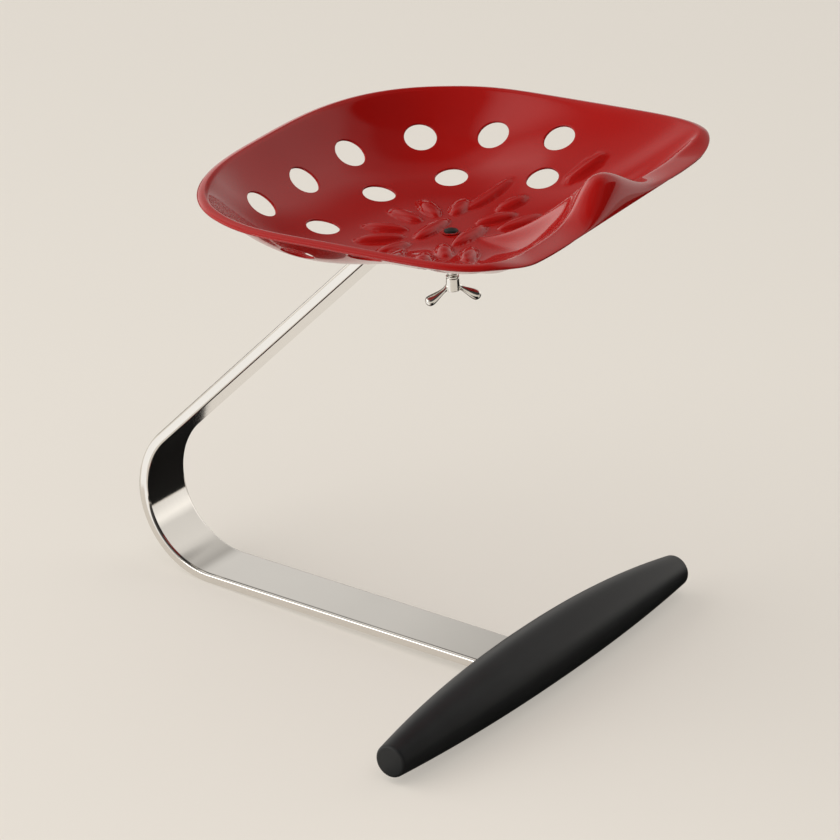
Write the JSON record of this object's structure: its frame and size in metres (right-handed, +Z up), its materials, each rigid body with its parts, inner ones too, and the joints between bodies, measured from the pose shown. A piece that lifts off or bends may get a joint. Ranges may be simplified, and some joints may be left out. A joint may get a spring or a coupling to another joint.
{
  "type": "tractor seat stool",
  "caption": "Low stool with a pressed bucket seat with round holes, on a springy bent flat bar with a turned crossbar foot, clamped by a wing nut.",
  "frame": {"origin": "on the floor under the middle of the stool's bounding box", "axes": "+X along the crossbar to the right of someone who looks from the crossbar to the bend, +Y from the crossbar to the bend behind the sitter, +Z up"},
  "size_m": [0.49, 0.5166, 0.5279],
  "materials": {
    "red_lacquer": "glossy red lacquer over pressed steel",
    "polished_steel": "polished and plated steel",
    "black_wood": "satin black paint over turned beech",
    "black_steel": "blackened steel",
    "dark_rubber": "matt black rubber",
    "pale_nylon": "natural nylon"
  },
  "bodies": {
    "base": {"stem": "polished_steel", "crossbar": "black_wood", "crossbar_screw_left": "black_steel", "crossbar_screw_right": "black_steel", "pivot_bush": "pale_nylon"},
    "seat": {"seat_pan": "red_lacquer", "seat_bolt": "polished_steel", "head_washer": "red_lacquer", "rubber_buffer": "dark_rubber"},
    "nut_slide": {"nut_washer": "polished_steel"},
    "nut": {"wing_nut": "polished_steel"}
  },
  "joints": [
    {"name": "seat_swivel", "type": "hinge", "parent": "base", "child": "seat", "pos_m": [0, -0.07396, 0.4312], "axis": [0, 0.0872, 0.9962], "continuous": true},
    {"name": "nut_travel", "type": "slide", "parent": "seat", "child": "nut_slide", "axis": [0, 0.0872, 0.9962], "range_m": [-0.00601, 0.0173]},
    {"name": "wing_nut_turn", "type": "hinge", "parent": "nut_slide", "child": "nut", "pos_m": [0, -0.07396, 0.4312], "axis": [0, 0.0872, 0.9962], "range_deg": [-1440, 4140]}
  ],
  "couplings": [
    {"joint": "nut_travel", "follows": "wing_nut_turn", "m_per_rad": 0.00023873}
  ]
}
